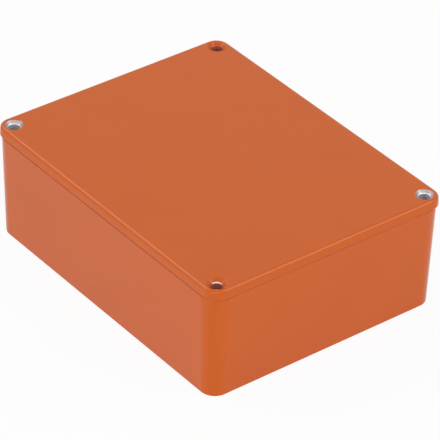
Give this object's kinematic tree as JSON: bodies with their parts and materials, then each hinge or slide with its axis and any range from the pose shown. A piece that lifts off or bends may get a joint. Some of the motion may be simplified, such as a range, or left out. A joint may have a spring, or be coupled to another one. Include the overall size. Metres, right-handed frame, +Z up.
{
  "type": "die cast aluminium box",
  "caption": "Rectangular die cast enclosure: a drafted base with corner screw pillars and a flat countersunk lid that laps over its rim.",
  "frame": {"origin": "centre of the foot of the base, on the surface that it stands on", "axes": "+X along the long side, +Y along the short side, +Z up through the lid"},
  "size_m": [0.1194, 0.094, 0.042],
  "materials": {
    "orange_enamel": "smooth semi-gloss orange enamel baked onto the die castings",
    "bare_aluminium": "bright aluminium where the screw holes were cut through the enamel"
  },
  "bodies": {
    "root": {"base": "orange_enamel", "lid": "orange_enamel"}
  },
  "joints": []
}
